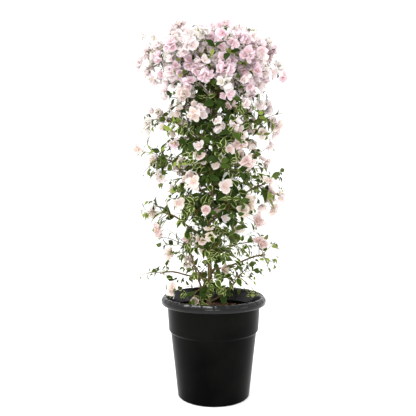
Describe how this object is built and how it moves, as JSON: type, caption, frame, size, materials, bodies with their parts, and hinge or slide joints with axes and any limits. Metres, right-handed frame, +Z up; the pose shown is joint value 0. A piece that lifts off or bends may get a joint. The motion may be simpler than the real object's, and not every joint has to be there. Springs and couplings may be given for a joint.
{
  "type": "potted bougainvillea bush",
  "caption": "Slim upright bougainvillea bush with pale pink and white bracts, densest at the top, growing in a round black nursery pot with a broad lip.",
  "frame": {"origin": "centre of the pot's flat underside", "axes": "+Z up along the pot's axis; the side seen in the picture faces -Y, with +X to the viewer's right"},
  "size_m": [0.4531, 0.4028, 1.0816],
  "materials": {
    "pot_plastic": "satin black moulded plastic, lip slightly greyer and scuffed",
    "soil": "coarse brown potting mix with bark crumbs",
    "bark": "matt grey-brown bark with fine lengthwise ridges",
    "foliage": "satin leaves, deep green to lime with some cream margins, among papery white and pink bracts"
  },
  "bodies": {
    "root": {"pot": "pot_plastic", "soil": "soil", "trunk": "bark", "bough_base_left": "bark", "bough_base_right": "bark", "bough_low_left": "bark", "bough_low_right": "bark", "bough_waist_left": "bark", "bough_waist_right": "bark", "bough_middle_left": "bark", "bough_high_right": "bark", "bough_high_left": "bark", "bough_head_left": "bark", "bough_head_front": "bark", "bough_head_right": "bark", "bough_head_back": "bark", "mass_skirt_1": "foliage", "mass_skirt_2": "foliage", "mass_skirt_3": "foliage", "mass_low_1": "foliage", "mass_low_2": "foliage", "mass_low_3": "foliage", "mass_waist_1": "foliage", "mass_waist_2": "foliage", "mass_waist_3": "foliage", "mass_waist_4": "foliage", "mass_middle_1": "foliage", "mass_middle_2": "foliage", "mass_middle_3": "foliage", "mass_middle_4": "foliage", "mass_shoulder_1": "foliage", "mass_shoulder_2": "foliage", "mass_shoulder_3": "foliage", "mass_shoulder_4": "foliage", "mass_neck_1": "foliage", "mass_neck_2": "foliage", "mass_neck_3": "foliage", "mass_neck_4": "foliage", "mass_head_1": "foliage", "mass_head_2": "foliage", "mass_head_3": "foliage", "mass_head_4": "foliage", "mass_base_left": "foliage", "mass_base_right": "foliage", "mass_low_left": "foliage", "mass_low_right": "foliage", "mass_waist_left": "foliage", "mass_waist_right": "foliage", "mass_middle_left": "foliage", "mass_high_right": "foliage", "mass_high_left": "foliage", "mass_head_left": "foliage", "mass_head_front": "foliage", "mass_head_right": "foliage", "mass_head_back": "foliage", "mass_crown": "foliage"}
  },
  "joints": []
}
